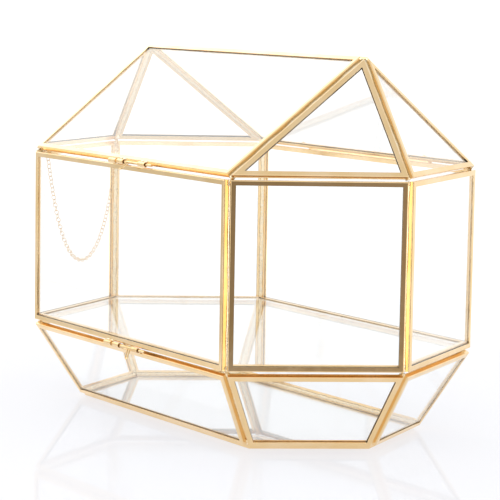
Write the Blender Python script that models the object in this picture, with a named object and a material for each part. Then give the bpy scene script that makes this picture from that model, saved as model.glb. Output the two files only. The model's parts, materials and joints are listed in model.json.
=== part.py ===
"""Hexagonal glass card box in a soldered brass frame: hipped lid, straight box and tapered base.

World frame in metres: X runs along the ridge, -Y is the front with both latches, +Y the back with
both hinges, and Z is up from the flat underside. Every pane is glass in its own U-shaped channel.
"""
import math

import bmesh
import bpy
from mathutils import Matrix, Vector

# Inside of the frame, seen from above: a hexagon with six corners of 120 degrees
INNER_LENGTH = 0.325
INNER_WIDTH = 0.176
CORNER_SLANT = math.radians(30)
# The latch handles stand out further than the hinges: this centres the whole object on Y
CENTRE_SHIFT = 0.0020
# The ridge is a little longer than the front wall, by this much at each end
RIDGE_OVERHANG = 0.006

# Heights
TOTAL_HEIGHT = 0.230
WALL_BOTTOM = 0.0508
WALL_TOP = 0.1609
LID_GAP = 0.0005
BASE_GAP = 0.0011
BASE_TAPER = math.radians(29.5)

# Brass channel round each pane, and the glass in it
CHANNEL_THICKNESS = 0.0037
CHANNEL_DEPTH = 0.0030
CHANNEL_SHEET = 0.0004
CHANNEL_WEB = 0.0006
CHANNEL_CORNER_RADIUS = 0.0006
GLASS_CLEARANCE = 0.0002
PANE_GAP = 0.0003

# Hinges: a long tube soldered to the box, and a rod whose bent legs hold the lid or the base
HINGE_HALF_LENGTH = 0.063
HINGE_TUBE_RADIUS = 0.0015
HINGE_BORE_RADIUS = 0.0010
HINGE_ROD_RADIUS = 0.0007
HINGE_BELOW_EDGE = 0.0010
HINGE_LEG = 0.0060
HINGE_BEND = 0.0012
SOLDER_GAP = 0.0003

# Barrel bolts: a keeper and two guides in line, and a pin with a hairpin handle between the guides
LATCH_TUBE_RADIUS = 0.0015
LATCH_BORE_RADIUS = 0.0012
BOLT_RADIUS = 0.0008
HANDLE_WIRE_RADIUS = 0.00045
HANDLE_HALF_WIDTH = 0.0012
HANDLE_LENGTH = 0.0068
# Places along X, and how far the line of tubes stands out of the wall and above its edge
LID_LATCH = {
    "keeper": (-0.0139, -0.0060), "near_guide": (-0.0040, 0.0030), "far_guide": (0.0204, 0.0280),
    "pin": (-0.0040, 0.0348), "handle": 0.0078, "out": 0.0013, "above": 0.0019, "droop": 35,
}
BASE_LATCH = {
    "keeper": (-0.0173, -0.0092), "near_guide": (-0.0069, 0.0001), "far_guide": (0.0152, 0.0221),
    "pin": (-0.0043, 0.0294), "handle": 0.0115, "out": 0.0014, "above": -0.0010, "droop": 70,
}

# Stay chain: it hangs from an eye at the box's left corner to an eye on the lid's left front edge
LID_OPEN = math.radians(75)
EYE_RADIUS = 0.0016
EYE_WIRE_RADIUS = 0.0004
EYE_INSET = 0.0026
BOX_EYE_BELOW_TOP = 0.0030
LID_EYE_SHARE = 0.073
CHAIN_RADIUS = 0.0006
CHAIN_END_GAP = 0.0014
CHAIN_EYE_GAP = 0.0042
CHAIN_BEND_SLOPES = [math.radians(a) for a in (-62, -32, 2, 36, 64)]

HALF_WIDTH = INNER_WIDTH / 2
CORNER_REACH = HALF_WIDTH * math.tan(CORNER_SLANT)
HALF_STRAIGHT = INNER_LENGTH / 2 - CORNER_REACH
HALF_RIDGE = HALF_STRAIGHT + RIDGE_OVERHANG
LID_BOTTOM = WALL_TOP + LID_GAP
BASE_TOP = WALL_BOTTOM - BASE_GAP
OUTER_HALF_WIDTH = HALF_WIDTH + CHANNEL_THICKNESS
HINGE_Y = OUTER_HALF_WIDTH + HINGE_TUBE_RADIUS + SOLDER_GAP
LID_HINGE_Z = WALL_TOP - HINGE_BELOW_EDGE
BASE_HINGE_Z = WALL_BOTTOM + HINGE_BELOW_EDGE
SIDES = ("front", "right_front", "right_back", "back", "left_back", "left_front")
X_AXIS = Vector((1, 0, 0))


def ridge_height():
    """Height of the ridge on the panes' inner faces: the channels above it then end at TOTAL_HEIGHT."""
    height, radius = TOTAL_HEIGHT, CHANNEL_CORNER_RADIUS
    for _ in range(20):
        slope = math.atan2(height - LID_BOTTOM, HALF_WIDTH)
        up, across = math.cos(slope), math.sin(slope)
        height = TOTAL_HEIGHT - (CHANNEL_THICKNESS - radius) * up + radius * across - radius
    return height


RIDGE_Z = ridge_height()
LID_SLOPE = math.atan2(RIDGE_Z - LID_BOTTOM, HALF_WIDTH)


def hexagon(z, inset=0.0):
    """The inner hexagon's corners, from front left anticlockwise, moved in by inset all round."""
    half_width = HALF_WIDTH - inset
    straight = HALF_STRAIGHT - inset * math.tan(CORNER_SLANT)
    reach = half_width * math.tan(CORNER_SLANT)
    return [
        Vector((-straight, -half_width, z)),
        Vector((straight, -half_width, z)),
        Vector((straight + reach, 0, z)),
        Vector((straight, half_width, z)),
        Vector((-straight, half_width, z)),
        Vector((-straight - reach, 0, z)),
    ]


# ---------------------------------------------------------------- objects and materials

def clear_scene():
    for obj in list(bpy.data.objects):
        bpy.data.objects.remove(obj, do_unlink=True)


def principled(name, color, roughness, metallic, transmission=0.0):
    material = bpy.data.materials.new(name)
    material.use_nodes = True
    shader = material.node_tree.nodes["Principled BSDF"]
    shader.inputs["Base Color"].default_value = (*color, 1)
    shader.inputs["Roughness"].default_value = roughness
    shader.inputs["Metallic"].default_value = metallic
    shader.inputs["Transmission Weight"].default_value = transmission
    material.diffuse_color = (*color, 1)
    return material


def pivot(name, place, parent=None):
    """An empty on a joint's axis; what hangs from it moves as one body."""
    empty = bpy.data.objects.new(name, None)
    bpy.context.scene.collection.objects.link(empty)
    empty.location = place - (parent.matrix_world.translation if parent else Vector())
    empty.parent = parent
    bpy.context.view_layer.update()
    return empty


def finished(name, bm, material, parent, smooth_above=None):
    """Turns a bmesh in world coordinates into a named object that hangs from a pivot."""
    bmesh.ops.recalc_face_normals(bm, faces=bm.faces)
    bm.transform(Matrix.Translation(-parent.matrix_world.translation))
    mesh = bpy.data.meshes.new(name)
    bm.to_mesh(mesh)
    bm.free()
    if smooth_above is not None:
        mesh.shade_smooth()
        mesh.set_sharp_from_angle(angle=smooth_above)
    mesh.materials.append(material)
    obj = bpy.data.objects.new(name, mesh)
    bpy.context.scene.collection.objects.link(obj)
    obj.parent = parent
    return obj


# ---------------------------------------------------------------- panes

def outward_normal(corners, outward):
    normal = (corners[1] - corners[0]).cross(corners[2] - corners[1]).normalized()
    return normal if normal.dot(outward) > 0 else -normal


def moved_in(corners, normal, distance):
    """The polygon's corners moved in its own plane by distance from each of its sides."""
    result = []
    for i, corner in enumerate(corners):
        before = (corner - corners[i - 1]).normalized()
        after = (corners[(i + 1) % len(corners)] - corner).normalized()
        turn = before.cross(after).dot(normal)
        into = normal.cross(before) if turn > 0 else -normal.cross(before)
        half = before.angle(after) / 2
        along = before * math.tan(half)
        result.append(corner + (into - along) * distance)
    return result


def banded(bm, loops):
    """Faces between each loop of vertices and the next."""
    for here, there in zip(loops, loops[1:]):
        for i in range(len(here)):
            bm.faces.new((here[i - 1], here[i], there[i], there[i - 1]))


def channel_profile():
    """The channel's section as (distance in from the pane's edge, distance out from its inner face)."""
    sheet, web, depth, thick = CHANNEL_SHEET, CHANNEL_WEB, CHANNEL_DEPTH, CHANNEL_THICKNESS
    radius = CHANNEL_CORNER_RADIUS
    turns = [math.radians(90) * k / 3 for k in range(4)]
    bend = [(radius * (1 - math.sin(a)), radius * (1 - math.cos(a))) for a in turns]
    mouth = [
        (depth, 0), (depth, sheet), (web, sheet),
        (web, thick - sheet), (depth, thick - sheet), (depth, thick),
    ]
    return list(reversed(bend)) + mouth + [(inward, thick - out) for inward, out in bend]


def pane(name, corners, outward, parent, brass, glass):
    """Glass and its mitred channel. The corners lie on the pane's inner face."""
    normal = outward_normal(corners, outward)
    outline = moved_in(corners, normal, PANE_GAP / 2)
    sheet, web, thick = CHANNEL_SHEET, CHANNEL_WEB, CHANNEL_THICKNESS
    channel = bmesh.new()
    loops = [
        [channel.verts.new(p + normal * out) for p in moved_in(outline, normal, inward)]
        for inward, out in channel_profile()
    ]
    banded(channel, loops + loops[:1])
    finished(name + "_channel", channel, brass, parent, smooth_above=math.radians(35))

    plate = bmesh.new()
    edge = moved_in(outline, normal, web + GLASS_CLEARANCE)
    inner_face = plate.faces.new([plate.verts.new(p + normal * (sheet + GLASS_CLEARANCE)) for p in edge])
    raised = bmesh.ops.extrude_face_region(plate, geom=[inner_face])["geom"]
    raised_verts = [v for v in raised if isinstance(v, bmesh.types.BMVert)]
    bmesh.ops.translate(plate, verts=raised_verts, vec=normal * (thick - 2 * sheet - 2 * GLASS_CLEARANCE))
    finished(name + "_glass", plate, glass, parent)


def ring_of_panes(prefix, lower, upper, parent, brass, glass):
    """Six panes between two hexagons."""
    for i, side in enumerate(SIDES):
        j = (i + 1) % 6
        corners = [lower[i], lower[j], upper[j], upper[i]]
        middle = sum(corners, Vector()) / 4
        pane(f"{prefix}_{side}", corners, Vector((middle.x, middle.y, 0)), parent, brass, glass)


def roof_panes(parent, brass, glass):
    """Two oblong panes that meet along the ridge, and two triangles at each end."""
    eave = hexagon(LID_BOTTOM)
    right, left = Vector((HALF_RIDGE, 0, RIDGE_Z)), Vector((-HALF_RIDGE, 0, RIDGE_Z))
    tops = ([right, left], [right], [right], [left, right], [left], [left])
    for i, side in enumerate(SIDES):
        corners = [eave[i], eave[(i + 1) % 6], *tops[i]]
        pane(f"lid_{side}", corners, Vector((0, 0, 1)), parent, brass, glass)


# ---------------------------------------------------------------- wire, tubes and rings

def frame_across(direction):
    """Two unit vectors at right angles to a direction."""
    helper = Vector((0, 0, 1)) if abs(direction.z) < 0.9 else X_AXIS
    first = direction.cross(helper).normalized()
    return first, direction.cross(first).normalized()


def swept(points, radius, sides, closed=False):
    """A round wire along points, as a bmesh with capped ends, or a closed ring."""
    bm = bmesh.new()
    count = len(points)
    loops = []
    across, up = None, None
    for i, point in enumerate(points):
        before = points[i - 1] if closed or i else point
        after = points[(i + 1) % count] if closed or i < count - 1 else point
        direction = (after - before).normalized()
        if across is None:
            across, up = frame_across(direction)
        across = (across - direction * across.dot(direction)).normalized()
        up = direction.cross(across)
        turns = [2 * math.pi * k / sides for k in range(sides)]
        spokes = [across * math.cos(a) + up * math.sin(a) for a in turns]
        loops.append([bm.verts.new(point + spoke * radius) for spoke in spokes])
    banded(bm, loops + loops[:1] if closed else loops)
    if not closed:
        bm.faces.new(loops[0])
        bm.faces.new(loops[-1])
    return bm


def rounded(points, radius, steps=5):
    """The path through points with each inner corner turned into an arc of that radius."""
    path = [points[0]]
    for before, corner, after in zip(points, points[1:], points[2:]):
        into, out = (corner - before).normalized(), (after - corner).normalized()
        half = into.angle(out) / 2
        centre = corner + (out - into).normalized() * radius / math.cos(half)
        start = corner - into * radius * math.tan(half) - centre
        axis = into.cross(out).normalized()
        turns = [2 * half * k / steps for k in range(steps + 1)]
        path += [centre + Matrix.Rotation(turn, 3, axis) @ start for turn in turns]
    return path + [points[-1]]


def tube(name, start, length, outer, bore, material, parent, sides=16):
    """A round tube along +X from start, open at both ends."""
    bm = bmesh.new()
    turns = [2 * math.pi * k / sides for k in range(sides)]
    loops = [
        [bm.verts.new(start + Vector((x, radius * math.cos(a), radius * math.sin(a)))) for a in turns]
        for radius, x in ((outer, 0), (outer, length), (bore, length), (bore, 0))
    ]
    banded(bm, loops + loops[:1])
    return finished(name, bm, material, parent, smooth_above=math.radians(40))


def ring(name, centre, normal, material, parent):
    """A wire eye round centre."""
    first, second = frame_across(normal)
    turns = [2 * math.pi * k / 16 for k in range(16)]
    points = [centre + (first * math.cos(a) + second * math.sin(a)) * EYE_RADIUS for a in turns]
    bm = swept(points, EYE_WIRE_RADIUS, 8, closed=True)
    return finished(name, bm, material, parent, smooth_above=math.radians(60))


# ---------------------------------------------------------------- hinges

def hinge(prefix, z, edge, along_pane, out_of_pane, tube_parent, rod_parent, brass):
    """Tube on the box, and through it a rod with legs bent onto a pane's outer edge."""
    start = Vector((-HINGE_HALF_LENGTH, HINGE_Y, z))
    tube(prefix + "_hinge_tube", start, 2 * HINGE_HALF_LENGTH, HINGE_TUBE_RADIUS, HINGE_BORE_RADIUS,
         brass, tube_parent)
    lying = edge + out_of_pane * (HINGE_ROD_RADIUS + SOLDER_GAP)
    knee = lying + along_pane * ((HINGE_Y - lying.y) / along_pane.y)
    foot = knee + along_pane * HINGE_LEG
    leg_x = HINGE_HALF_LENGTH + HINGE_BEND
    half = [Vector((leg_x, foot.y, foot.z)), Vector((leg_x, knee.y, knee.z)), Vector((leg_x, HINGE_Y, z))]
    points = half + [Vector((-p.x, p.y, p.z)) for p in reversed(half)]
    path = rounded(points, HINGE_BEND * 0.6)
    rod = swept(path, HINGE_ROD_RADIUS, 10)
    finished(prefix + "_hinge_rod", rod, brass, rod_parent, smooth_above=math.radians(60))


def hinges(base, box, lid, brass):
    up_roof = Vector((0, -math.cos(LID_SLOPE), math.sin(LID_SLOPE)))
    off_roof = Vector((0, math.sin(LID_SLOPE), math.cos(LID_SLOPE)))
    lid_edge = Vector((0, HALF_WIDTH, LID_BOTTOM)) + off_roof * CHANNEL_THICKNESS
    hinge("lid", LID_HINGE_Z, lid_edge, up_roof, off_roof, box, lid, brass)
    down_base = Vector((0, -math.sin(BASE_TAPER), -math.cos(BASE_TAPER)))
    off_base = Vector((0, math.cos(BASE_TAPER), -math.sin(BASE_TAPER)))
    base_edge = Vector((0, HALF_WIDTH, BASE_TOP)) + off_base * CHANNEL_THICKNESS
    hinge("base", BASE_HINGE_Z, base_edge, down_base, off_base, box, base, brass)


# ---------------------------------------------------------------- latches

def on_latch(layout, edge_z, x):
    """A point on the line that a latch's tubes share."""
    return Vector((x, -OUTER_HALF_WIDTH - layout["out"], edge_z + layout["above"]))


def latch(prefix, layout, edge_z, keeper_parent, guide_parent, bolt_pivot, brass):
    """Keeper and two guides in line along X, and a bolt with a hairpin handle between the guides."""
    parents = {"keeper": keeper_parent, "near_guide": guide_parent, "far_guide": guide_parent}
    for part, parent in parents.items():
        start, end = layout[part]
        tube(f"{prefix}_latch_{part}", on_latch(layout, edge_z, start), end - start,
             LATCH_TUBE_RADIUS, LATCH_BORE_RADIUS, brass, parent)
    pin = swept([on_latch(layout, edge_z, x) for x in layout["pin"]], BOLT_RADIUS, 12)
    bolt = finished(prefix + "_latch_bolt", pin, brass, bolt_pivot, smooth_above=math.radians(60))

    droop = math.radians(layout["droop"])
    outward = Vector((0, -math.cos(droop), -math.sin(droop)))
    side = X_AXIS * HANDLE_HALF_WIDTH
    root = on_latch(layout, edge_z, layout["handle"])
    centre = root + outward * (HANDLE_LENGTH - HANDLE_HALF_WIDTH)
    arc = [math.pi * k / 8 for k in range(9)]
    bend = [centre - side * math.cos(a) + outward * HANDLE_HALF_WIDTH * math.sin(a) for a in arc]
    wire = swept([root - side, *bend, root + side], HANDLE_WIRE_RADIUS, 8)
    handle = finished(prefix + "_latch_handle_shape", wire, brass, bolt_pivot)
    handle.hide_render = True
    handle.display_type = "WIRE"
    join = bolt.modifiers.new("handle", "BOOLEAN")
    join.operation = "UNION"
    join.object = handle


# ---------------------------------------------------------------- stay chain

def eye_centres():
    corner = hexagon(WALL_TOP)[5]
    box_eye = Vector((corner.x + EYE_INSET, 0, WALL_TOP - BOX_EYE_BELOW_TOP))
    front, left = hexagon(LID_BOTTOM)[0], hexagon(LID_BOTTOM)[5]
    inward = Vector((math.cos(CORNER_SLANT), math.sin(CORNER_SLANT), 0))
    lid_eye = front.lerp(left, LID_EYE_SHARE) + inward * EYE_INSET
    return box_eye, lid_eye, (left - front).normalized()


def opened(point):
    """Where a point of the lid goes when the lid is fully open."""
    hinge_line = Vector((0, HINGE_Y, LID_HINGE_Z))
    return hinge_line + Matrix.Rotation(-LID_OPEN, 3, X_AXIS) @ (point - hinge_line)


def catenary(span, rise, length):
    """Scale a, and the distances along the chain from its lowest point to both ends."""
    low, high = span / 40, span * 5
    stretched = math.sqrt(length * length - rise * rise)
    for _ in range(80):
        a = (low + high) / 2
        if 2 * a * math.sinh(span / (2 * a)) > stretched:
            low = a
        else:
            high = a
    middle = a * math.atanh(rise / length)
    left, right = middle - span / 2, middle + span / 2
    return a, a * math.sinh(left / a), a * math.sinh(right / a)


def chain_joints():
    """The chain's joints at rest, from the box's eye to the lid's, on the curve that it hangs in."""
    box_eye, lid_eye, _ = eye_centres()
    first = box_eye - Vector((0, 0, EYE_RADIUS))
    last = lid_eye - Vector((0, 0, EYE_RADIUS))
    taut = (opened(last) - first).length
    level = Vector((last.x - first.x, last.y - first.y, 0))
    span, rise = level.length, last.z - first.z

    def hung(length):
        a, s_first, s_last = catenary(span, rise, length)
        stations = [s_first, *(a * math.tan(slope) for slope in CHAIN_BEND_SLOPES), s_last]
        x0, z0 = a * math.asinh(s_first / a), math.hypot(a, s_first)
        return [
            first + level.normalized() * (a * math.asinh(s / a) - x0)
            + Vector((0, 0, math.hypot(a, s) - z0))
            for s in stations
        ]

    short, long = taut, taut * 1.1
    for _ in range(60):
        length = (short + long) / 2
        points = hung(length)
        if sum((b - a).length for a, b in zip(points, points[1:])) < taut:
            short = length
        else:
            long = length
    return points


def chain(box, lid, brass):
    """Two eyes, and runs of links between the chain's joints; the last run hangs from the lid."""
    box_eye, lid_eye, lid_edge = eye_centres()
    ring("chain_eye_box", box_eye, Vector((0, 1, 0)), brass, box)
    ring("chain_eye_lid", lid_eye, lid_edge, brass, lid)
    joints = chain_joints()
    runs = len(joints) - 1
    parent = box
    for k in range(runs):
        start, end = joints[k], joints[k + 1]
        along = (end - start).normalized()
        start_gap = CHAIN_EYE_GAP if k == 0 else CHAIN_END_GAP
        end_gap = CHAIN_EYE_GAP if k == runs - 1 else CHAIN_END_GAP
        if k == runs - 1:
            parent = pivot(f"chain_pivot_{k + 1}", end, lid)
        else:
            parent = pivot(f"chain_pivot_{k + 1}", start, parent)
        rod = swept([start + along * start_gap, end - along * end_gap], CHAIN_RADIUS, 6)
        finished(f"chain_run_{k + 1}", rod, brass, parent)


# ---------------------------------------------------------------- the whole box

def main():
    clear_scene()
    brass = principled("brass", (0.80, 0.56, 0.28), 0.28, 1.0)
    glass = principled("clear_glass", (0.90, 0.96, 0.95), 0.03, 0.0, 0.95)

    base = pivot("base_body", Vector((0, 0, 0)))
    box = pivot("box_body", Vector((0, HINGE_Y, BASE_HINGE_Z)), base)
    lid = pivot("lid_body", Vector((0, HINGE_Y, LID_HINGE_Z)), box)
    lid_bolt = pivot("lid_bolt_body", on_latch(LID_LATCH, WALL_TOP, LID_LATCH["handle"]), lid)
    base_bolt = pivot("base_bolt_body", on_latch(BASE_LATCH, WALL_BOTTOM, BASE_LATCH["handle"]), base)

    taper_inset = (BASE_TOP - CHANNEL_THICKNESS) * math.tan(BASE_TAPER)
    bottom = hexagon(CHANNEL_THICKNESS, taper_inset)
    down = Vector((0, 0, -1))
    ring_of_panes("base", bottom, hexagon(BASE_TOP), base, brass, glass)
    pane("base_bottom", bottom, down, base, brass, glass)
    ring_of_panes("wall", hexagon(WALL_BOTTOM), hexagon(WALL_TOP), box, brass, glass)
    pane("floor", hexagon(WALL_BOTTOM + CHANNEL_THICKNESS, PANE_GAP), down, box, brass, glass)
    roof_panes(lid, brass, glass)

    hinges(base, box, lid, brass)
    latch("lid", LID_LATCH, WALL_TOP, box, lid, lid_bolt, brass)
    latch("base", BASE_LATCH, WALL_BOTTOM, box, base, base_bolt, brass)
    chain(box, lid, brass)
    base.location.y += CENTRE_SHIFT


main()
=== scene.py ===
"""Looks of the glass card box: brass, glass, solder and the linked stay chain, on a white table.

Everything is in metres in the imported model's frame: X along the ridge, -Y the latched front, +Z up.
"""
import json
import math

import bmesh
import bpy
from mathutils import Matrix, Vector, geometry, noise


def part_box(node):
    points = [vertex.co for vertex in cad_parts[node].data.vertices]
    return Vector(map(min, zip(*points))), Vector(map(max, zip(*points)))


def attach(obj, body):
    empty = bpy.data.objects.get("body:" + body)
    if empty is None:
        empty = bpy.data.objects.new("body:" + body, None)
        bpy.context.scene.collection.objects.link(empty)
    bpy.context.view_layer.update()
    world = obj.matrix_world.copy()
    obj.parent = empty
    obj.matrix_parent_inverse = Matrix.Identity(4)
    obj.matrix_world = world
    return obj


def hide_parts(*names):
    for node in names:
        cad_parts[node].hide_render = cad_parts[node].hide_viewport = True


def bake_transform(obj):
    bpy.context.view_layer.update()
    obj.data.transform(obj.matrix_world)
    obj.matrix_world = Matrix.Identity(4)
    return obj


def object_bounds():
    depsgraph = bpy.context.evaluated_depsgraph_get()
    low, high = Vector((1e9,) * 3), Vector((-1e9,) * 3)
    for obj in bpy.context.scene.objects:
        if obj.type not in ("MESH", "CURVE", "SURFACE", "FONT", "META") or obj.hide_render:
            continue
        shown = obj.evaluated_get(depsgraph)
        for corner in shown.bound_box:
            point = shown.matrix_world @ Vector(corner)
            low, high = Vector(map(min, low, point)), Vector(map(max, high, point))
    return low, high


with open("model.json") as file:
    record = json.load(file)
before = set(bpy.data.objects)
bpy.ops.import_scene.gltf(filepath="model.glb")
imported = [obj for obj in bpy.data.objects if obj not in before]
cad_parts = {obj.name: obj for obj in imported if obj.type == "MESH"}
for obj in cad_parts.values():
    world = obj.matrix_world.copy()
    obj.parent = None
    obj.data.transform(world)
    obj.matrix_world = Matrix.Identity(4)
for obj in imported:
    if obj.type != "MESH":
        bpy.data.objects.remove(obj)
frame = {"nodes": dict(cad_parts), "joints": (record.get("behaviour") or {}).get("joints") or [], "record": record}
CAD_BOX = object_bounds()

TIERS = {"lid": "lid", "wall": "box", "base": "base"}
SIDES = ("front", "right_front", "right_back", "back", "left_back", "left_front")
TUBES = ("lid_hinge_tube", "base_hinge_tube") + tuple(
    f"{tier}_latch_{part}" for tier in ("lid", "base") for part in ("keeper", "near_guide", "far_guide")
)
MM = 0.001
X_AXIS = Vector((1, 0, 0))
UP = Vector((0, 0, 1))

# Camera: a long lens from the right front, slightly above
LENS = 156.317
SENSOR_WIDTH = 36.0
CLIP_START = 0.05
CAMERA_PLACE = Vector((1.13071, -0.76424, 0.26829))
CAMERA_RIGHT = Vector((0.56030, 0.82810, 0.01751))
CAMERA_UP = Vector((-0.10883, 0.05264, 0.99267))

# Colours
CHANNEL_DEEP = (0.87, 0.63, 0.33, 1)
CHANNEL_PALE = (0.91, 0.69, 0.42, 1)
SPECK_COLOUR = (0.42, 0.22, 0.07, 1)
SPECK_SHARE = 0.45
WIRE_DEEP = (0.84, 0.57, 0.27, 1)
WIRE_PALE = (0.91, 0.69, 0.39, 1)
SOLDER_PLATED = (0.96, 0.81, 0.56, 1)
SOLDER_THIN = (0.94, 0.88, 0.76, 1)
GLASS_TINT = (0.993, 0.998, 0.998, 1)
GLASS_IOR = 1.5
WHITE = (1, 1, 1, 1)

# Two panes share a seam where their corners agree this well; a corner turns by at least this much
SEAM_TOLERANCE = 1.0 * MM
CORNER_TURN = math.radians(20)

# Solder in a seam: a fillet in the groove outside, and a flat bead inside
SEAM_STEP = 1.6 * MM
GROOVE_FILL = {
    "lid": (1.9 * MM, 3.0 * MM),
    "wall": (0.8 * MM, 1.4 * MM),
    "base": (0.8 * MM, 1.4 * MM),
}
FILLET_DIP = 0.62
SEAM_SINK = 0.22 * MM
BEAD_WIDTH = (1.3 * MM, 2.0 * MM)
BEAD_HEIGHT = 0.22 * MM
BEAD_SWELL = (0.6, 1.3)
BEAD_EDGE = 0.08 * MM

# Lumps of solder: a drop outside and a knot inside at each seam's ends. In a lump's own size, its
# SEAT is how far along the seam and how far outward it sits, and its SHAPE is its three radii
DROP_RADIUS = 1.25 * MM
DROP_SHARE = (0.7, 1.1)
DROP_SEAT = (1.1, 0.75)
DROP_SHAPE = (0.62, 0.62, 1.3)
DROP_ROUGHNESS = 0.22
KNOT_RADIUS = (0.9 * MM, 1.9 * MM)
KNOT_SEAT = (1.2, -0.25)
KNOT_SHAPE = (0.9, 0.9, 1.2)
KNOT_ROUGHNESS = 0.5

# Dabs of solder behind the tubes. A dab reaches at most DAB_SHARE of their spacing to each side, and
# sits DAB_SEAT of the tube's radius above or below its middle
DABS_PER_HINGE = 5
DABS_PER_LATCH_TUBE = 2
DAB_REACH = 3.2 * MM
DAB_SHARE = 0.46
DAB_THICKNESS = 0.75 * MM
DAB_SEAT = 0.95
DAB_ROUGHNESS = 0.4

# How fast each unevenness of the solder changes, per metre, and that of a lump's skin per radius
FILL_WAVES = 90
WIDTH_WAVES = 140
SWELL_WAVES = 200
DROP_WAVES = 60
KNOT_WAVES = 75
SKIN_WAVES = 1.6

# Stay chain links
LINK_LENGTH = 3.6 * MM
LINK_WIDTH = 3.1 * MM
LINK_WIRE = 0.19 * MM
LINK_OVERLAP = 4.6 * LINK_WIRE
LINK_PITCH = LINK_LENGTH - LINK_OVERLAP
LINK_ROLLS = (math.radians(12), math.radians(102))
LINK_SEGMENTS = 16
WIRE_SEGMENTS = 8
CATENARY_HALVINGS = 60

# Table
TABLE_RADIUS = 0.46
TABLE_FADE = 0.30
TABLE_DROP = 0.2 * MM
TABLE_COLOUR = (0.26, 0.26, 0.26)
TABLE_GLOW = (0.76, 0.765, 0.80)
TABLE_GLOSS = 0.12

# Studio light, by the direction it comes from. An EDGE is where a part starts and where it is full:
# a Z for the ceiling, for what is low and for the top of the unlit side, a Y for the front, and the
# cosine of the angle to the part's middle for the windows, the softbox and the unlit side
WALL_LIGHT = 1.15
CEILING_LIGHT = 0.85
CEILING_EDGE = (0.50, 0.75)
FRONT_LIGHT = 0.65
FRONT_EDGE = (-0.30, -0.60)
LOW_EDGE = (0.30, 0.0)
WINDOWS = ((Vector((0, -1, 0)), 1.7), (Vector((0.90, 0.44, 0)), 1.6))
WINDOW_EDGE = (0.84, 0.94)
SOFTBOX_LIGHT = 2.0
SOFTBOX_TOWARD = Vector((-0.82, 0.06, 0.57))
SOFTBOX_EDGE = (0.86, 0.96)
UNLIT_SHARE = 0.30
UNLIT_COLOUR = (1.0, 0.86, 0.72, 1)
UNLIT_SIDE_EDGE = (0.55, 0.85)
UNLIT_TOP_EDGE = (0.45, 0.10)


# ---------------------------------------------------------------- node helpers

def new_material(name):
    material = bpy.data.materials.new(name)
    material.use_nodes = True
    nodes = material.node_tree.nodes
    nodes.clear()
    output = nodes.new("ShaderNodeOutputMaterial")
    shader = nodes.new("ShaderNodeBsdfPrincipled")
    material.node_tree.links.new(shader.outputs[0], output.inputs["Surface"])
    return material, shader


class Nodes:
    """Short calls for the nodes that the materials and the studio are made of."""

    def __init__(self, tree):
        self.tree = tree

    def add(self, kind, inputs=None, **settings):
        node = self.tree.nodes.new(kind)
        for key, value in settings.items():
            setattr(node, key, value)
        for key, value in (inputs or {}).items():
            self.put(node.inputs[key], value)
        return node

    def put(self, socket, value):
        if isinstance(value, bpy.types.NodeSocket):
            self.tree.links.new(value, socket)
        else:
            socket.default_value = value

    def coordinates(self):
        return self.add("ShaderNodeTexCoord").outputs["Object"]

    def stretched(self, vector, scale):
        return self.add("ShaderNodeMapping", {"Vector": vector, "Scale": scale}).outputs["Vector"]

    def noise(self, vector, scale, detail=3.0, roughness=0.5, distortion=0.0):
        node = self.add("ShaderNodeTexNoise", {
            "Vector": vector,
            "Scale": scale,
            "Detail": detail,
            "Roughness": roughness,
            "Distortion": distortion,
        })
        return node.outputs["Fac"]

    def range(self, value, low, high, to_low=0.0, to_high=1.0):
        """The value brought smoothly from low..high to to_low..to_high."""
        node = self.add("ShaderNodeMapRange", {
            "Value": value,
            "From Min": low,
            "From Max": high,
            "To Min": to_low,
            "To Max": to_high,
        }, interpolation_type="SMOOTHSTEP")
        return node.outputs["Result"]

    def mix(self, factor, first, second):
        node = self.add("ShaderNodeMix", {0: factor, 6: first, 7: second}, data_type="RGBA")
        return node.outputs[2]

    def mix_shaders(self, factor, first, second):
        inputs = {0: factor, 1: first.outputs[0], 2: second.outputs[0]}
        return self.add("ShaderNodeMixShader", inputs)

    def math(self, operation, first, second):
        return self.add("ShaderNodeMath", {0: first, 1: second}, operation=operation).outputs[0]

    def toward(self, direction, middle):
        """Cosine of the angle between a direction and a light's middle."""
        node = self.add("ShaderNodeVectorMath", {0: direction, 1: middle}, operation="DOT_PRODUCT")
        return node.outputs["Value"]

    def bump(self, height, strength, distance):
        inputs = {"Height": height, "Strength": strength, "Distance": distance}
        return self.add("ShaderNodeBump", inputs).outputs["Normal"]


# ---------------------------------------------------------------- materials

def brass_material():
    """Gold-plated channel: faintly uneven plating, sparse dull specks and a slightly wavy face."""
    material, shader = new_material("gold_channel")
    n = Nodes(material.node_tree)
    place = n.coordinates()
    plating = n.range(n.noise(place, scale=38.0, roughness=0.55), low=0.35, high=0.68)
    gold = n.mix(plating, CHANNEL_DEEP, CHANNEL_PALE)
    specks = n.range(n.noise(place, scale=900.0, roughness=0.7), low=0.69, high=0.80)
    colour = n.mix(n.math("MULTIPLY", specks, SPECK_SHARE), gold, SPECK_COLOUR)
    haze = n.noise(place, scale=180.0, detail=4.0, roughness=0.6)
    waves = n.noise(place, scale=90.0, detail=2.0)
    n.put(shader.inputs["Base Color"], colour)
    n.put(shader.inputs["Metallic"], 1.0)
    n.put(shader.inputs["Roughness"], n.range(haze, low=0.3, high=0.75, to_low=0.11, to_high=0.20))
    n.put(shader.inputs["Normal"], n.bump(waves, strength=0.10, distance=0.4 * MM))
    return material


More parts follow.
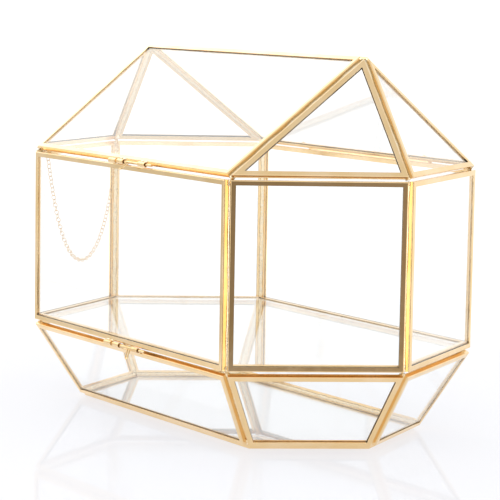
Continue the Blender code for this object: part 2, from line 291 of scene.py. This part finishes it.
def wire_material():
    """Drawn brass wire and tube: smoother than the channel, with fine draw marks along X."""
    material, shader = new_material("gold_wire")
    n = Nodes(material.node_tree)
    place = n.coordinates()
    tone = n.range(n.noise(place, scale=300.0, roughness=0.6), low=0.3, high=0.7)
    marks = n.noise(n.stretched(place, (60.0, 2600.0, 2600.0)), scale=1.0, detail=2.0)
    n.put(shader.inputs["Base Color"], n.mix(tone, WIRE_DEEP, WIRE_PALE))
    n.put(shader.inputs["Metallic"], 1.0)
    n.put(shader.inputs["Roughness"], n.range(marks, low=0.3, high=0.7, to_low=0.16, to_high=0.30))
    n.put(shader.inputs["Normal"], n.bump(marks, strength=0.2, distance=0.05 * MM))
    return material


def solder_material():
    """Plated solder: paler than the channel, lumpy, and greyer where the plating is thin."""
    material, shader = new_material("gold_solder")
    n = Nodes(material.node_tree)
    place = n.coordinates()
    thin = n.range(n.noise(place, scale=420.0, detail=4.0, roughness=0.65), low=0.50, high=0.72)
    haze = n.noise(place, scale=700.0, roughness=0.6)
    lumps = n.noise(place, scale=420.0, detail=2.0)
    n.put(shader.inputs["Base Color"], n.mix(thin, SOLDER_PLATED, SOLDER_THIN))
    n.put(shader.inputs["Metallic"], 1.0)
    n.put(shader.inputs["Roughness"], n.range(haze, low=0.3, high=0.7, to_low=0.16, to_high=0.30))
    n.put(shader.inputs["Normal"], n.bump(lumps, strength=0.35, distance=0.4 * MM))
    return material


def glass_material():
    """Clear float glass, faintly uneven, with a slight haze in a few wiped patches."""
    material, shader = new_material("clear_glass")
    n = Nodes(material.node_tree)
    place = n.coordinates()
    lengthened = n.stretched(place, (1.0, 1.0, 2.2))
    wiped = n.noise(lengthened, scale=22.0, detail=4.0, roughness=0.6, distortion=0.6)
    rolled = n.noise(place, scale=14.0, detail=1.0)
    n.put(shader.inputs["Base Color"], GLASS_TINT)
    n.put(shader.inputs["Transmission Weight"], 1.0)
    n.put(shader.inputs["IOR"], GLASS_IOR)
    n.put(shader.inputs["Roughness"], n.range(wiped, low=0.60, high=0.90, to_high=0.02))
    n.put(shader.inputs["Normal"], n.bump(rolled, strength=0.05, distance=0.6 * MM))
    return material


def table_material():
    """Matt white that carries part of the studio's light itself, under a thin gloss; clear at the rim."""
    material, shader = new_material("white_table")
    n = Nodes(material.node_tree)
    place = n.coordinates()
    n.put(shader.inputs["Base Color"], (*TABLE_COLOUR, 1))
    n.put(shader.inputs["Specular IOR Level"], 0.0)
    n.put(shader.inputs["Roughness"], 1.0)
    n.put(shader.inputs["Emission Color"], (*TABLE_GLOW, 1))
    n.put(shader.inputs["Emission Strength"], 1.0)
    polish = n.range(n.noise(place, scale=9.0), low=0.3, high=0.7, to_low=0.01, to_high=0.04)
    gloss = n.add("ShaderNodeBsdfGlossy", {"Roughness": polish})
    surface = n.mix_shaders(TABLE_GLOSS, shader, gloss)
    reach = n.add("ShaderNodeVectorMath", {0: place}, operation="LENGTH").outputs["Value"]
    lost = n.range(reach, TABLE_FADE, TABLE_RADIUS)
    faded = n.mix_shaders(lost, surface, n.add("ShaderNodeBsdfTransparent"))
    n.put(material.node_tree.nodes["Material Output"].inputs["Surface"], faded.outputs[0])
    return material


# ---------------------------------------------------------------- mesh helpers

def linked_object(name, bm, material):
    """A bmesh as an object of the scene with one material."""
    mesh = bpy.data.meshes.new(name)
    bm.to_mesh(mesh)
    bm.free()
    mesh.materials.append(material)
    obj = bpy.data.objects.new(name, mesh)
    bpy.context.scene.collection.objects.link(obj)
    return obj


def piece(name, bm, material, body):
    """A smooth piece of the model; it rides the body, unless that is None and it is left unattached."""
    bmesh.ops.recalc_face_normals(bm, faces=bm.faces)
    obj = linked_object(name, bm, material)
    obj.data.shade_smooth()
    if body:
        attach(obj, body)
    return obj


def banded(bm, loops, closed_round=False):
    """Faces between each ring of points and the next; the ends get caps unless the rings close."""
    rings = [[bm.verts.new(p) for p in loop] for loop in loops]
    for here, there in zip(rings, rings[1:] + (rings[:1] if closed_round else [])):
        for i in range(len(here)):
            bm.faces.new((here[i - 1], here[i], there[i], there[i - 1]))
    if not closed_round:
        bm.faces.new(rings[0])
        bm.faces.new(rings[-1])


def wander(place, frequency, low, high, seed=0.0):
    """A smooth uneven value between low and high that depends only on the place and the seed."""
    value = noise.noise(place * frequency + Vector((seed, seed * 1.7, -seed)))
    return low + (high - low) * min(1.0, max(0.0, 0.5 + value))


def drop(bm, centre, radii, facing, seed, rough):
    """A lump of solder: a ball with its own radii, turned to face a direction, with an uneven skin."""
    turn = UP.rotation_difference(facing).to_matrix()
    made = bmesh.ops.create_icosphere(bm, subdivisions=3, radius=1.0)["verts"]
    for vert in made:
        skin = 1 + rough * noise.noise(vert.co * SKIN_WAVES + Vector((seed, 0, seed * 0.37)))
        vert.co = centre + turn @ Vector([r * c * skin for r, c in zip(radii, vert.co)])


# ---------------------------------------------------------------- panes read back from the model

def outward_normal(mesh, middle):
    """A pane's normal is its channel's widest flat direction, which every flange face shares."""
    areas = {}
    for face in mesh.polygons:
        key = tuple(round(abs(c), 2) for c in face.normal)
        areas.setdefault(key, [0.0, face.normal.copy()])[0] += face.area
    normal = max(areas.values(), key=lambda entry: entry[0])[1]
    outward = normal.dot(middle - (CAD_BOX[0] + CAD_BOX[1]) / 2) >= 0
    return normal if outward else -normal


def outline(name):
    """Outward normal of a pane's channel, and its outer corners brought to the inner face."""
    mesh = frame["nodes"][name].data
    points = [v.co for v in mesh.vertices]
    middle = sum(points, Vector()) / len(points)
    normal = outward_normal(mesh, middle)
    lowest = min(p.dot(normal) for p in points)
    across = points[0] - middle
    across = (across - normal * across.dot(normal)).normalized()
    up = normal.cross(across)
    flat = sorted({(round((p - middle).dot(across), 6), round((p - middle).dot(up), 6)) for p in points})
    inner = middle + normal * (lowest - middle.dot(normal))
    hull = [Vector(flat[i]) for i in geometry.convex_hull_2d(flat)]
    sharp = []
    for k, corner in enumerate(hull):
        before, after = corner - hull[k - 1], hull[(k + 1) % len(hull)] - corner
        if before.angle(after) > CORNER_TURN:
            sharp.append(inner + across * corner.x + up * corner.y)
    return normal, sharp


def inward(along, normal, to_middle):
    """The direction in a pane, square to one of its edges, that leads to its middle."""
    direction = along.cross(normal).normalized()
    return direction if direction.dot(to_middle) > 0 else -direction


def shared_edges(corners, other):
    """The edges of one pane that another pane has too, each halfway between the two."""
    for a, b in zip(corners, corners[1:] + corners[:1]):
        near = [min(other, key=lambda p: (p - q).length) for q in (a, b)]
        if max((near[0] - a).length, (near[1] - b).length) <= SEAM_TOLERANCE:
            yield (a + near[0]) / 2, (b + near[1]) / 2


def seams():
    """The edges that two panes of a tier share: tier, ends, both normals and both inward directions."""
    found = []
    for tier in TIERS:
        panes = [outline(f"{tier}_{side}_channel") for side in SIDES]
        if tier == "base":
            panes.append(outline("base_bottom_channel"))
        for i, (normal, corners) in enumerate(panes):
            for other_normal, other in panes[i + 1:]:
                for start, end in shared_edges(corners, other):
                    along = (end - start).normalized()
                    into = [
                        inward(along, n, sum(c, Vector()) / len(c) - start)
                        for n, c in ((normal, corners), (other_normal, other))
                    ]
                    found.append((tier, start, end, (normal, other_normal), into))
    return found


# ---------------------------------------------------------------- solder

def solder_seam(bm, start, end, normals, into, groove_fill, seed):
    """A fillet in the bottom of the groove between two channels, and a flat bead behind it."""
    count = max(3, round((end - start).length / SEAM_STEP))
    outward = (normals[0] + normals[1]).normalized()
    loops = []
    for k in range(count + 1):
        place = start.lerp(end, k / count)
        fill = wander(place, FILL_WAVES, *groove_fill, seed)
        width = [wander(place, WIDTH_WAVES, *BEAD_WIDTH, seed + 3 + i) for i in (0, 1)]
        height = BEAD_HEIGHT * wander(place, SWELL_WAVES, *BEAD_SWELL, seed + 9)
        loops.append([
            place + normals[0] * fill + into[0] * SEAM_SINK,
            place + outward * fill * FILLET_DIP,
            place + normals[1] * fill + into[1] * SEAM_SINK,
            place + into[1] * width[1] + normals[1] * BEAD_EDGE,
            place + into[1] * width[1] * 0.5 - normals[1] * height,
            place - outward * height * 1.5,
            place + into[0] * width[0] * 0.5 - normals[0] * height,
            place + into[0] * width[0] + normals[0] * BEAD_EDGE,
        ])
    banded(bm, loops)


def end_lumps(bm, point, along, outward, number):
    """Where a seam ends: a long drop in the groove outside, and a rougher knot inside."""
    drop_size = DROP_RADIUS * wander(point, DROP_WAVES, *DROP_SHARE, number)
    knot_size = wander(point, KNOT_WAVES, *KNOT_RADIUS, number + 0.5)
    for size, seat, shape, seed, rough in (
        (drop_size, DROP_SEAT, DROP_SHAPE, number * 1.9, DROP_ROUGHNESS),
        (knot_size, KNOT_SEAT, KNOT_SHAPE, number * 3.1, KNOT_ROUGHNESS),
    ):
        centre = point + along * size * seat[0] + outward * size * seat[1]
        drop(bm, centre, [size * share for share in shape], along, seed, rough)


def build_solder(material):
    """The seams of each tier, and the lumps where they meet."""
    meshes = {tier: bmesh.new() for tier in TIERS}
    ends = {tier: [] for tier in TIERS}
    for k, (tier, start, end, normals, into) in enumerate(seams()):
        solder_seam(meshes[tier], start, end, normals, into, GROOVE_FILL[tier], seed=k * 2.3)
        outward = (normals[0] + normals[1]).normalized()
        for point, inner in ((start, end), (end, start)):
            ends[tier].append((point, (inner - point).normalized(), outward))
    for tier, bm in meshes.items():
        for number, (point, along, outward) in enumerate(ends[tier]):
            end_lumps(bm, point, along, outward, number)
        piece(f"{tier}_solder", bm, material, TIERS[tier])


def body_of_node(node):
    bodies = frame["record"]["behaviour"]["bodies"]
    return next(body for body, members in bodies.items() if node in members)


def tube_solder(material):
    """Dabs of solder between each tube and the channel it lies on."""
    for name in TUBES:
        low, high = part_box(name)
        middle = (low + high) / 2
        radius = (high.z - low.z) / 2
        back = 1 if middle.y > 0 else -1
        length = high.x - low.x
        dabs = DABS_PER_HINGE if "hinge" in name else DABS_PER_LATCH_TUBE
        body = body_of_node(name)
        # A tube lies below its channel's edge only when that channel is above it
        toward = 1 if body == "lid" or (body == "box" and name.startswith("base")) else -1
        bm = bmesh.new()
        for k in range(dabs):
            x = low.x + length * (k + 0.5) / dabs
            reach = min(length / dabs * DAB_SHARE, DAB_REACH)
            seat = Vector((x, middle.y - back * radius, middle.z + toward * radius * DAB_SEAT))
            radii = (reach, DAB_THICKNESS, DAB_THICKNESS)
            drop(bm, seat, radii, UP, seed=k + low.x * 900, rough=DAB_ROUGHNESS)
        piece(f"{name}_solder", bm, material, body)


# ---------------------------------------------------------------- stay chain

def joint_place(name):
    return Vector(next(j["pos_m"] for j in frame["joints"] if j["name"] == name))


class Catenary:
    """The curve a chain hangs in between two points, fixed by a third that it passes.

    Its height is a * cosh(x / a) from its lowest point, so a smaller a hangs deeper.
    """

    def __init__(self, first, last, passed):
        self.first = first
        level = Vector((last.x - first.x, last.y - first.y, 0))
        self.span, self.rise, self.level = level.length, last.z - first.z, level.normalized()
        at = self.along(passed)
        low, high = self.span / 12, self.span * 3
        for _ in range(CATENARY_HALVINGS):
            self.a = (low + high) / 2
            self.settle()
            if self.height(at) < passed.z - first.z:
                low = self.a
            else:
                high = self.a

    def settle(self):
        """Find the lowest point for which the curve reaches its last end."""
        half = self.span / (2 * self.a)
        self.bottom = self.span / 2 - self.a * math.asinh(self.rise / (2 * self.a * math.sinh(half)))

    def along(self, point):
        return (point - self.first).dot(self.level)

    def height(self, x):
        return self.a * (math.cosh((x - self.bottom) / self.a) - math.cosh(self.bottom / self.a))

    def length_to(self, x):
        return self.a * (math.sinh((x - self.bottom) / self.a) + math.sinh(self.bottom / self.a))

    def at_length(self, s):
        """Point and direction at a distance along the chain from its first end."""
        x = self.bottom + self.a * math.asinh(s / self.a - math.sinh(self.bottom / self.a))
        slope = math.sinh((x - self.bottom) / self.a)
        point = self.first + self.level * x + UP * self.height(x)
        return point, (self.level + UP * slope).normalized()


def chain_link(bm, centre, along, roll):
    """One oval link of round wire."""
    side = along.cross(UP if abs(along.z) < 0.95 else X_AXIS).normalized()
    side = Matrix.Rotation(roll, 3, along) @ side
    face = along.cross(side)
    radius = LINK_WIDTH / 2 - LINK_WIRE
    straight = (LINK_LENGTH - LINK_WIDTH) / 2
    ring = [2 * math.pi * j / WIRE_SEGMENTS for j in range(WIRE_SEGMENTS)]
    loops = []
    for k in range(LINK_SEGMENTS):
        turn = 2 * math.pi * k / LINK_SEGMENTS
        out = along * math.cos(turn) + side * math.sin(turn)
        middle = centre + out * radius + along * straight * (1 if math.cos(turn) > 0 else -1)
        loops.append([middle + (out * math.cos(r) + face * math.sin(r)) * LINK_WIRE for r in ring])
    banded(bm, loops, closed_round=True)


def chain_stations(curve, joints):
    """Distances along the chain at which its six runs start and end."""
    stations = [curve.length_to(curve.along(joint)) for joint in joints[:5]]
    # Runs 5 and 6 meet where run 5's solid ends
    run_low, run_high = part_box("chain_run_5")
    corners = [Vector((x, y, 0)) for x in (run_low.x, run_high.x) for y in (run_low.y, run_high.y)]
    stations.append(curve.length_to(max(curve.along(corner) for corner in corners)))
    stations.append(curve.length_to(curve.span))
    return stations


def chain_spans(stations):
    """Each linked piece: where it starts and ends, its bodies, and the station where its two runs meet, if any."""
    middles = [(a + b) / 2 for a, b in zip(stations, stations[1:])]
    spans = [(0.0, middles[0], ("chain_1",), None)]
    for k in range(1, 5):
        spans.append((middles[k - 1], middles[k], (f"chain_{k}", f"chain_{k + 1}"), stations[k]))
    spans.append((middles[4], stations[5], ("chain_5",), None))
    spans.append((stations[5], stations[6], ("chain_6",), None))
    return spans


def build_chain(material):
    """Links along the hanging curve, in pieces; a piece across the place where two runs meet rides neither of
    them.
    """
    joints = [joint_place(f"chain_joint_{k}") for k in range(1, 7)]
    curve = Catenary(joints[0], joints[5], joints[3])
    stations = chain_stations(curve, joints)
    total = stations[-1]
    count = round(total / LINK_PITCH)
    for number, (low, high, bodies, bend) in enumerate(chain_spans(stations), start=1):
        bm = bmesh.new()
        for k in range(count):
            s = total * (k + 0.5) / count
            if low <= s < high:
                place, along = curve.at_length(s)
                chain_link(bm, place, along, LINK_ROLLS[k % 2])
        obj = piece(f"chain_links_{number}", bm, material, None if bend else bodies[0])
        if bend:
            middle, along = curve.at_length(bend)
            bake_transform(obj)
        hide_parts(*[f"chain_run_{b[-1]}" for b in bodies])


# ---------------------------------------------------------------- studio

def build_table():
    """A round white table top, lost in the white of the studio towards its rim."""
    bm = bmesh.new()
    bmesh.ops.create_circle(bm, cap_ends=True, segments=128, radius=TABLE_RADIUS)
    table = linked_object("table_top", bm, table_material())
    table.location.z = -TABLE_DROP


def build_world():
    """A white studio: a softbox on the left, two windows, and unlit low down where the camera stands."""
    world = bpy.data.worlds.new("studio")
    world.use_nodes = True
    bpy.context.scene.world = world
    world.node_tree.nodes.clear()
    n = Nodes(world.node_tree)
    direction = n.add("ShaderNodeTexCoord").outputs["Generated"]
    parts = n.add("ShaderNodeSeparateXYZ", {"Vector": direction}).outputs
    light = n.range(parts["Z"], *CEILING_EDGE, WALL_LIGHT, CEILING_LIGHT)
    low = n.range(parts["Z"], *LOW_EDGE)
    front = n.range(parts["Y"], *FRONT_EDGE, 0.0, FRONT_LIGHT - WALL_LIGHT)
    light = n.math("ADD", light, n.math("MULTIPLY", front, low))
    for middle, extra in WINDOWS:
        window = n.range(n.toward(direction, middle), *WINDOW_EDGE, 0.0, extra)
        light = n.math("ADD", light, n.math("MULTIPLY", window, low))
    softbox = n.toward(direction, SOFTBOX_TOWARD)
    light = n.math("ADD", light, n.range(softbox, *SOFTBOX_EDGE, 0.0, SOFTBOX_LIGHT - WALL_LIGHT))
    behind = CAMERA_PLACE.xy.normalized().to_3d()
    side = n.range(n.toward(direction, behind), *UNLIT_SIDE_EDGE)
    unlit = n.math("MULTIPLY", side, n.range(parts["Z"], *UNLIT_TOP_EDGE))
    reflected = n.math("MULTIPLY", light, n.range(unlit, 0.0, 1.0, 1.0, UNLIT_SHARE))
    # Seen directly or through the glass, the studio is evenly white
    rays = n.add("ShaderNodeLightPath").outputs
    seen = n.math("MAXIMUM", rays["Is Camera Ray"], rays["Is Transmission Ray"])
    strength = n.range(seen, 0.0, 1.0, reflected, WALL_LIGHT)
    tinted = n.math("MULTIPLY", unlit, n.math("SUBTRACT", 1.0, seen))
    tint = n.mix(tinted, WHITE, UNLIT_COLOUR)
    background = n.add("ShaderNodeBackground", {"Color": tint, "Strength": strength})
    output = n.add("ShaderNodeOutputWorld")
    n.put(output.inputs["Surface"], background.outputs[0])


def build_camera():
    camera = bpy.data.cameras.new("camera")
    camera.lens = LENS
    camera.sensor_width = SENSOR_WIDTH
    camera.clip_start = CLIP_START
    obj = bpy.data.objects.new("camera", camera)
    back = CAMERA_RIGHT.cross(CAMERA_UP)
    turn = Matrix((CAMERA_RIGHT, CAMERA_UP, back)).transposed().to_4x4()
    obj.matrix_world = Matrix.Translation(CAMERA_PLACE) @ turn
    bpy.context.scene.collection.objects.link(obj)
    bpy.context.scene.camera = obj


# ---------------------------------------------------------------- dressing the model

def dress_nodes(brass, wire, glass):
    """Materials for the solids themselves: panes, channels, and the tubes, rods, bolts and eyes."""
    for name, node in frame["nodes"].items():
        if name.endswith("_glass"):
            material = glass
        elif name.endswith("_channel"):
            material = brass
        else:
            material = wire
        node.data.materials.clear()
        node.data.materials.append(material)


def main():
    build_camera()
    build_table()
    build_world()
    bpy.context.scene.view_settings.view_transform = "Standard"
    brass, wire = brass_material(), wire_material()
    solder, glass = solder_material(), glass_material()
    dress_nodes(brass, wire, glass)
    build_solder(solder)
    tube_solder(solder)
    build_chain(wire)


main()
